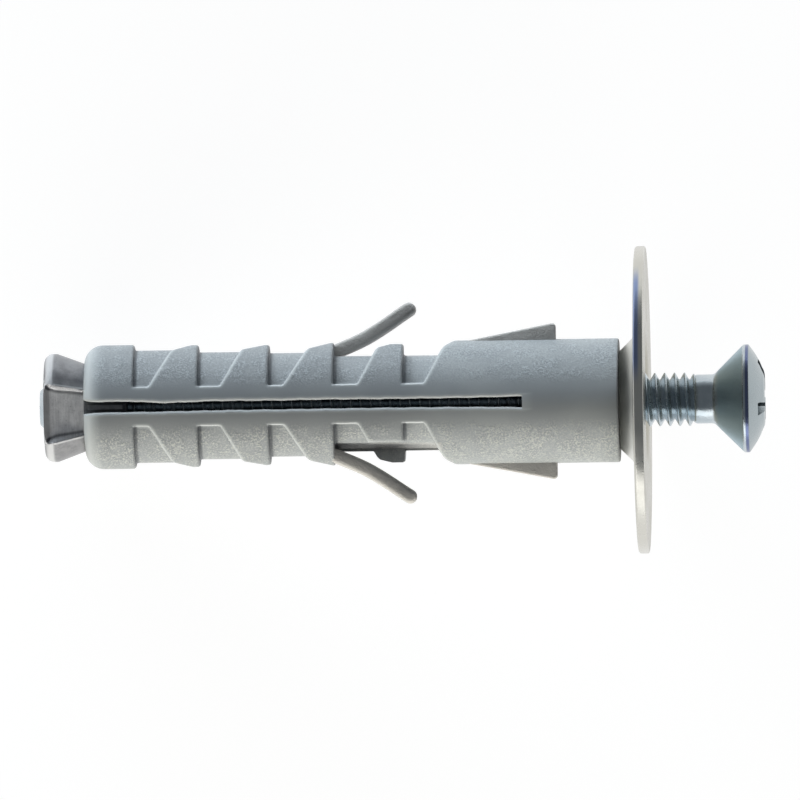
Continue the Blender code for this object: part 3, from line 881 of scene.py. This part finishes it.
# Dished washer
# A steel disc with a dimple pressed in it that seats in the plug's mouth. It is blanked, so its rim is
# rounder on the side of the plug, and then plated with zinc. A blue band on the upper half of its rim
# is a painted reflection, and the dimple is painted paler as painted light.
WASHER_RADIUS = 10.9
WASHER_THICKNESS = 0.745
HOLE_RADIUS = 2.4
FOOT_STATION = 37.94
DIMPLE_BEND = 1.0
BACK_EDGE_ROUND = 0.12
FACE_EDGE_ROUND = 0.2
BACK_FLAT_MARGIN = 0.3
FACE_FLAT_MARGIN = 0.26
FOOT_ROUND = 0.24
WASHER_STEPS = 256
FLAT_STEPS = 12


def arc(centre, radius, start, end, steps):
    """Points of an arc about centre = (radius, station)."""
    angles = [start + (end - start) * k / steps for k in range(steps + 1)]
    return [(centre[0] + radius * math.cos(a), centre[1] + radius * math.sin(a)) for a in angles]


def turned_rings(profile, steps):
    """Rings about the anchor's line through (radius, station) points."""
    angles = np.linspace(0, 2 * math.pi, steps, endpoint=False)
    return [[(-r * math.cos(a), r * math.sin(a), station) for a in angles] for r, station in profile]


dimple_depth = DISC_STATION - FOOT_STATION
foot_radius = HOLE_RADIUS + WASHER_THICKNESS * math.sqrt(2)
bend_radius = foot_radius + dimple_depth + DIMPLE_BEND * math.tan(math.pi / 8)
bend_centre = (bend_radius, DISC_STATION - DIMPLE_BEND)
back = DISC_STATION + WASHER_THICKNESS
back_flat = np.linspace(WASHER_RADIUS - BACK_FLAT_MARGIN, bend_radius, FLAT_STEPS)[1:-1]
face_flat = np.linspace(bend_radius, WASHER_RADIUS - FACE_FLAT_MARGIN, FLAT_STEPS)[1:]
back_edge = (WASHER_RADIUS - BACK_EDGE_ROUND, back - BACK_EDGE_ROUND)
face_edge = (WASHER_RADIUS - FACE_EDGE_ROUND, DISC_STATION + FACE_EDGE_ROUND)
profile = [
    *arc(back_edge, BACK_EDGE_ROUND, 0, math.pi / 2, 4),
    *[(radius, back) for radius in back_flat],
    *arc(bend_centre, DIMPLE_BEND + WASHER_THICKNESS, math.pi / 2, math.radians(135), 8),
    (HOLE_RADIUS + 0.08, FOOT_STATION + 0.06),
    (HOLE_RADIUS, FOOT_STATION + 0.09),
    (HOLE_RADIUS + 0.02, FOOT_STATION + 0.02),
    (HOLE_RADIUS + 0.1, FOOT_STATION),
    *arc((foot_radius - 0.1, FOOT_STATION + FOOT_ROUND), FOOT_ROUND, -math.pi / 2, -math.pi / 4, 5),
    *arc(bend_centre, DIMPLE_BEND, math.radians(135), math.pi / 2, 8),
    *[(radius, DISC_STATION) for radius in face_flat],
    *arc(face_edge, FACE_EDGE_ROUND, -math.pi / 2, 0, 5),
]
disc = Shell()
disc_rows = [disc.ring(points) for points in turned_rings(profile, WASHER_STEPS)]
disc.skin(disc_rows + disc_rows[:1])

SHEET_DARK = (0.40, 0.385, 0.33)
SHEET_LIGHT = (0.48, 0.465, 0.40)
RIM_PALE = (0.66, 0.65, 0.60)
RIM_BLUE_REFLECTION = (0.19, 0.28, 0.55)
DIMPLE_PAINTED_LIGHT = (0.90, 0.90, 0.86)
plated = Finish("zinc_plated_sheet", metallic=1.0, roughness=0.26)
x, y, station = [part / MM for part in plated.parts(plated.place)]
away = (x * x + y * y) ** 0.5
bloom = plated.noise(plated.place, 420.0, 3.0)
fine = plated.noise(plated.place, 5200.0, 2.0, 0.6)
past_face = station.between(DISC_STATION - 0.02, DISC_STATION + 0.1)
before_back = 1 - station.between(DISC_STATION + 0.3, DISC_STATION + 0.5)
band = away.between(WASHER_RADIUS - 0.35, WASHER_RADIUS - 0.1) * past_face * before_back
reflecting_side = y.between(0.8, 3.0) * (1 - y.between(8.2, 9.6))
inside_bend = 1 - away.between(bend_radius - 0.5, bend_radius + 0.3)
dimple = inside_bend * (1 - station.between(DISC_STATION, DISC_STATION + 0.1))
metal = plated.mix(bloom.between(0.35, 0.7), SHEET_DARK, SHEET_LIGHT)
metal = plated.mix(away.between(WASHER_RADIUS - 0.2, WASHER_RADIUS - 0.05), metal, RIM_PALE)
# A painted reflection: a blue band along the upper half of the rim's edge.
metal = plated.mix(band * reflecting_side * 0.8, metal, RIM_BLUE_REFLECTION)
# The dimple is painted paler: painted light for the light it would pick up.
metal = plated.mix(dimple * 0.9, metal, DIMPLE_PAINTED_LIGHT)
plated.feed("Base Color", metal)
plated.feed("Roughness", 0.24 + bloom.between(0.3, 0.75) * 0.14 + dimple * 0.22)
plated.relief(fine, 0.000008, 0.5)

washer = disc.piece("plated_washer_disc", plated, edge_angle=40)
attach(washer, "washer")
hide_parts("dished_washer")

# Machine screw
# Cold headed steel with a rolled thread, a short plain shank and a raised countersunk head with a cross
# recess, plated in clear blue zinc. The thread is one groove that follows a helix, so a rule makes it.
TIP_STATION = -3.19
TIP_RADIUS = 1.21
THREAD_END = 43.58
SHANK_RADIUS = 1.74
HEAD_RADIUS = 3.83
HEAD_STATION = 46.74
NECK_STATION = 44.65
HEAD_RIM = 0.35
CROWN_HEIGHT = 1.15
CROWN_FLAT_RADIUS = 1.9
CROWN_ROUND = 1.2
NECK_FILLET = 0.5
RUN_OUT = 0.5
TURNS = 73
TURN_STEPS = 40
PROFILE_STEPS = 12
ROOT_SHARE = 0.1
END_SLOPE = 2.4
CLEAR_SLOPE = 100
THREAD_WELD = 0.002
THREAD_SIZES = {
    "Pitch": PITCH * MM,
    "Crest radius": THREAD_RADIUS * MM,
    "Root radius": (THREAD_RADIUS - THREAD_DEPTH) * MM,
    "Tip radius": TIP_RADIUS * MM,
    "Tip station": TIP_STATION * MM,
    "End station": THREAD_END * MM,
    "Run out": RUN_OUT * MM,
    "Turns": TURNS,
    "Steps a turn": TURN_STEPS,
    "Steps a pitch": PROFILE_STEPS,
}


def thread_tree(finish):
    """Winds a strip one pitch wide into a thread, chamfered at its tip and run out at its end."""
    tree = bpy.data.node_groups.new("rolled_thread", "GeometryNodeTree")
    tree.interface.new_socket("Geometry", in_out="OUTPUT", socket_type="NodeSocketGeometry")
    for name, size in THREAD_SIZES.items():
        kind = "NodeSocketInt" if isinstance(size, int) else "NodeSocketFloat"
        tree.interface.new_socket(name, in_out="INPUT", socket_type=kind)
    bench = Bench(tree)
    given = bench.node("NodeGroupInput", {}, {})
    value = {output.name: given.also(output.name) for output in given.socket.node.outputs if output.name}
    pitch, crest, root = value["Pitch"], value["Crest radius"], value["Root radius"]
    grid = {
        "Size X": value["Turns"] * 1.0,
        "Size Y": 1.0,
        "Vertices X": value["Turns"] * value["Steps a turn"] + 1,
        "Vertices Y": value["Steps a pitch"] + 1,
    }
    strip = bench.node("GeometryNodeMeshGrid", {}, grid)
    along, across = bench.parts(bench.node("GeometryNodeInputPosition", {}, {}))[:2]
    turns = along + value["Turns"] / 2
    start = (value["Tip station"] - pitch * 2).maths("SNAP", pitch)
    raised = start + CREST_STATION * MM + pitch * (turns + across)
    ridge = (1 - (across * 2).maths("ABSOLUTE") - ROOT_SHARE) / (1 - 2 * ROOT_SHARE)
    profile = ridge.most(0.0).least(1.0)
    faded = profile * (1 - raised.between(value["End station"] - value["Run out"], value["End station"]))
    wall = root + (crest - root) * faded
    from_tip = raised - value["Tip station"]
    from_end = value["End station"] - raised
    chamfered = wall.least(value["Tip radius"] + from_tip.most(0.0))
    # Past each end the wall runs in to the middle, which shuts the thread. Short of it the limit is lifted.
    closing = (value["Tip radius"] + from_tip.least(0.0) * END_SLOPE).most(0.0)
    ending = (root + from_end.least(0.0) * END_SLOPE).most(0.0)
    radius = chamfered.least(closing + from_tip.most(0.0) * CLEAR_SLOPE)
    radius = radius.least(ending + from_end.most(0.0) * CLEAR_SLOPE)
    level = raised.most(value["Tip station"]).least(value["End station"])
    angle = turns * (2 * math.pi)
    spot = {0: radius * angle.maths("COSINE"), 1: radius * angle.maths("SINE"), 2: level}
    place = bench.node("ShaderNodeCombineXYZ", {}, spot)
    wound = bench.node("GeometryNodeSetPosition", {}, {"Geometry": strip, "Position": place})
    weld = {"Geometry": wound, "Distance": THREAD_WELD * MM}
    welded = bench.node("GeometryNodeMergeByDistance", {}, weld)
    real = bench.node("GeometryNodeRealizeInstances", {}, {"Geometry": welded})
    coated = bench.node("GeometryNodeSetMaterial", {}, {"Geometry": real, "Material": finish.material})
    out = tree.nodes.new("NodeGroupOutput")
    tree.links.new(coated.socket, out.inputs[0])
    return tree


STEEL_DARK = (0.47, 0.535, 0.575)
STEEL_LIGHT = (0.59, 0.65, 0.685)
HEAD_BLUE = (0.43, 0.575, 0.65)
CROWN_PAINTED_SHADE = (0.33, 0.375, 0.39)
RIM_VIOLET = (0.10, 0.13, 0.30)
steel = Finish("blue_zinc_plate", metallic=1.0, roughness=0.2)
x, y, station = [part / MM for part in steel.parts(steel.place)]
film = steel.noise(steel.place, 700.0, 3.0, 0.6)
fine = steel.noise(steel.place, 6000.0, 2.0, 0.6)
away = (x * x + y * y) ** 0.5
past_neck = station.between(NECK_STATION, NECK_STATION + 0.4)
head_cone = past_neck * (1 - station.between(HEAD_STATION - 0.1, HEAD_STATION))
past_rim = station.between(HEAD_STATION + 0.12, HEAD_STATION + 0.2)
before_crown = 1 - station.between(HEAD_STATION + 0.33, HEAD_STATION + 0.42)
rim_line = past_rim * before_crown * away.between(3.3, 3.5)
metal = steel.mix(film.between(0.35, 0.7), STEEL_DARK, STEEL_LIGHT)
metal = steel.mix(head_cone * 0.8, metal, HEAD_BLUE)
# The crown is painted darker: painted shade that tones down its bright reflection.
metal = steel.mix(past_rim * 0.75, metal, CROWN_PAINTED_SHADE)
metal = steel.mix(rim_line * 0.8, metal, RIM_VIOLET)
steel.feed("Base Color", metal)
steel.feed("Roughness", 0.2 + film.between(0.3, 0.75) * 0.12 + head_cone * 0.18)
steel.relief(fine, 0.000012, 0.5)

winder = bpy.data.objects.new("winder", bpy.data.meshes.new("winder"))
bpy.context.scene.collection.objects.link(winder)
modifier = winder.modifiers.new("thread", "NODES")
modifier.node_group = thread_tree(steel)
for item in modifier.node_group.interface.items_tree:
    if item.in_out == "INPUT":
        modifier[item.identifier] = THREAD_SIZES[item.name]
wound = bpy.data.meshes.new_from_object(winder.evaluated_get(bpy.context.evaluated_depsgraph_get()))
winder.modifiers.clear()
bpy.data.objects.remove(winder)

HEAD_RIM_ROUND = 0.1
HEAD_STEPS = 160
POLE_RADIUS = 0.0001
CROWN_FLATS = (POLE_RADIUS, 0.7, 1.3)
CROWN_SLOPE = [(2.6, 0.34), (3.1, 0.62), (3.5, 0.89)]
SHANK_END = [(0, 43.9), (0, 43.4), (0.06, 43.26), (0.3, 43.05)]
SHANK_END_STATION = 43.0
HEAD_EDGE_ANGLE = 30
top = HEAD_STATION + HEAD_RIM + CROWN_HEIGHT
flank = math.atan2(CROWN_HEIGHT, HEAD_RADIUS - CROWN_FLAT_RADIUS)
crown_centre = (CROWN_FLAT_RADIUS - CROWN_ROUND * math.tan(flank / 2), top - CROWN_ROUND)
neck_centre = (SHANK_RADIUS + NECK_FILLET, NECK_STATION - NECK_FILLET * math.tan(math.pi / 8))
rim_middle = HEAD_RADIUS - HEAD_RIM_ROUND
blank = [
    *[(radius, top) for radius in CROWN_FLATS],
    *arc(crown_centre, CROWN_ROUND, math.pi / 2, math.pi / 2 - flank, 10),
    *[(radius, top - drop) for radius, drop in CROWN_SLOPE],
    *arc((rim_middle, HEAD_STATION + HEAD_RIM - 0.02), HEAD_RIM_ROUND, math.pi / 2 - flank, 0, 4),
    (HEAD_RADIUS, HEAD_STATION + 0.12),
    *arc((rim_middle, HEAD_STATION + 0.06), HEAD_RIM_ROUND, 0, -math.pi / 4, 4)[1:],
    *arc(neck_centre, NECK_FILLET, math.radians(135), math.pi, 8),
    *[(SHANK_RADIUS - inset, station) for inset, station in SHANK_END],
    (POLE_RADIUS, SHANK_END_STATION),
]
screw = Shell()
screw_rows = [screw.ring(points) for points in turned_rings(blank, HEAD_STEPS)]
screw.skin(screw_rows)
screw.faces += [tuple(screw_rows[0]), tuple(screw_rows[-1])]
screw_body = screw.piece("plated_screw_body", steel, HEAD_EDGE_ANGLE)

RECESS_REACH = 3.4
RECESS_FOOT = 0.9
RECESS_DEPTH = 1.9
RECESS_WING = 0.9
RECESS_TURN = math.radians(16.6)
OVERCUT = 1
cutters = []
slope = (RECESS_REACH - RECESS_FOOT) / RECESS_DEPTH
wing_outline = [(RECESS_REACH + slope * OVERCUT, top + OVERCUT), (RECESS_FOOT, top - RECESS_DEPTH)]
wing_outline += [(-reach, station) for reach, station in reversed(wing_outline)]
for turn in (RECESS_TURN, RECESS_TURN + math.pi / 2):
    rings = []
    for across in (-RECESS_WING / 2, RECESS_WING / 2):
        x, y = across * math.cos(turn), across * math.sin(turn)
        ring = []
        for reach, station in wing_outline:
            ring.append((x - reach * math.sin(turn), y + reach * math.cos(turn), station))
        rings.append(ring)
    wing = Shell()
    wing.tube(rings)
    cutters.append(wing.piece("recess_wing", steel))
for cutter in cutters:
    modifier = screw_body.modifiers.new("recess", "BOOLEAN")
    modifier.operation = "DIFFERENCE"
    modifier.object = cutter
    modifier.solver = "EXACT"
cut = bpy.data.meshes.new_from_object(screw_body.evaluated_get(bpy.context.evaluated_depsgraph_get()))
screw_body.modifiers.clear()
screw_body.data = cut
cut.shade_smooth()
cut.set_sharp_from_angle(angle=math.radians(HEAD_EDGE_ANGLE))
for cutter in cutters:
    bpy.data.objects.remove(cutter)

screw_thread = made_piece("plated_screw_thread", wound, steel, edge_angle=50)
for piece in (screw_body, screw_thread):
    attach(piece, "screw")
    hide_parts("oval_head_screw")

# Floor, light and camera
# The anchor lies on a white sheet, which glows a little, between two soft lamps, the cooler one on its
# upper side. A card on the lower side is seen only in what shines. The camera looks almost square on the
# anchor's line, from a little to the head's side.
FLOOR_REACH = 3.0
FLOOR_DROP = 0.00002
SHEET_GREY = (0.86, 0.86, 0.86, 1)
SHEET_WHITE = (1, 1, 1, 1)
SHEET_GLOW = 1.15
SHEET_GLOW_SHARE = 0.8
floor_mesh = bpy.data.meshes.new("floor")
corners = [(x * FLOOR_REACH, y * FLOOR_REACH, 0) for x, y in ((-1, -1), (1, -1), (1, 1), (-1, 1))]
floor_mesh.from_pydata(corners, [], [(0, 1, 2, 3)])
floor = bpy.data.objects.new("floor", floor_mesh)
floor.location.z = -FLOOR_DROP
bpy.context.scene.collection.objects.link(floor)
paper = bpy.data.materials.new("white_sheet")
paper.use_nodes = True
paper.node_tree.nodes.clear()
sheet = Bench(paper.node_tree)
ray = sheet.node("ShaderNodeLightPath", {}, {})
shown = ray.also("Is Camera Ray").most(ray.also("Is Glossy Ray")).most(ray.also("Is Transmission Ray"))
lit = sheet.node("ShaderNodeBsdfDiffuse", {}, {"Color": SHEET_GREY})
white = sheet.node("ShaderNodeEmission", {}, {"Color": SHEET_WHITE, "Strength": SHEET_GLOW})
mixed = sheet.node("ShaderNodeMixShader", {}, {0: shown * SHEET_GLOW_SHARE, 1: lit, 2: white})
surface = paper.node_tree.nodes.new("ShaderNodeOutputMaterial")
paper.node_tree.links.new(mixed.socket, surface.inputs["Surface"])
floor_mesh.materials.append(paper)

ROOM_LIGHT = (0.115, 0.123, 0.13)
ROOM_IN_METAL = (0.13, 0.14, 0.15)
WALL_IN_METAL = (0.44, 0.46, 0.48)
ROOM_BEHIND = (1.0, 1.0, 1.0)
world = bpy.data.worlds.new("studio")
bpy.context.scene.world = world
world.use_nodes = True
world.node_tree.nodes.clear()
room = Bench(world.node_tree)
ray = room.node("ShaderNodeLightPath", {}, {})
towards = room.parts(room.node("ShaderNodeTexCoord", {}, {}, "Generated"))
wall = (1 - towards[2].between(0.02, 0.45)) * towards[2].between(-0.2, 0.02)
seen_in_metal = room.mix(wall, ROOM_IN_METAL, WALL_IN_METAL)
colour = room.mix(ray.also("Is Glossy Ray"), ROOM_LIGHT, seen_in_metal)
colour = room.mix(ray.also("Is Camera Ray"), colour, ROOM_BEHIND)
air = room.node("ShaderNodeBackground", {}, {"Color": colour, "Strength": 1.0})
world_out = world.node_tree.nodes.new("ShaderNodeOutputWorld")
world.node_tree.links.new(air.socket, world_out.inputs["Surface"])


def lamp(name, place, size, colour, power, diffuse, glossy=True):
    """A soft lamp that faces the anchor, with the share of its light that lights dull surfaces."""
    light = bpy.data.lights.new(name, "AREA")
    light.shape = "RECTANGLE"
    light.size, light.size_y = size
    light.color = colour
    light.energy = power
    light.diffuse_factor = diffuse
    obj = bpy.data.objects.new(name, light)
    obj.location = place
    obj.rotation_euler = (-Vector(place)).to_track_quat("-Z", "Y").to_euler()
    obj.visible_camera = False
    obj.visible_glossy = glossy
    bpy.context.scene.collection.objects.link(obj)


lamp(
    "lower_lamp",
    place=(-0.10, -0.5, 0.05),
    size=(0.7, 0.09),
    colour=(1.0, 0.985, 0.88),
    power=3.95,
    diffuse=1.0,
    glossy=False,
)
lamp(
    "lower_card",
    place=(0.0, -0.49, 0.16),
    size=(0.9, 0.28),
    colour=(1.0, 0.99, 0.97),
    power=1.2,
    diffuse=0.0,
)
lamp(
    "upper_lamp",
    place=(-0.16, 0.5, 0.05),
    size=(0.6, 0.09),
    colour=(0.85, 0.94, 1.0),
    power=4.9,
    diffuse=1.0,
    glossy=False,
)

CAMERA_DISTANCE = 2.0
VIEW_WIDTH = 0.05674
VIEW_STATION = 22.34
VIEW_RAISE = 0.227
HEAD_YAW = math.radians(2.1)
LINE_RISE = math.radians(0.8)
SENSOR_WIDTH = 36
aim = LAID @ Vector((0, VIEW_RAISE * MM, VIEW_STATION * MM))
to_camera = (-TO_FLOOR * math.cos(HEAD_YAW) + TO_HEAD * math.sin(HEAD_YAW)).normalized()
right = (TO_HEAD * math.cos(HEAD_YAW) + TO_FLOOR * math.sin(HEAD_YAW)).normalized()
up = to_camera.cross(right)
roll = Matrix.Rotation(-LINE_RISE, 3, to_camera)
camera_data = bpy.data.cameras.new("camera")
camera_data.sensor_width = SENSOR_WIDTH
camera_data.lens = SENSOR_WIDTH * CAMERA_DISTANCE / VIEW_WIDTH
camera = bpy.data.objects.new("camera", camera_data)
turned = Matrix((roll @ right, roll @ up, to_camera)).transposed().to_4x4()
camera.matrix_world = Matrix.Translation(aim + to_camera * CAMERA_DISTANCE) @ turned
bpy.context.scene.collection.objects.link(camera)
bpy.context.scene.camera = camera
bpy.context.scene.view_settings.view_transform = "Standard"
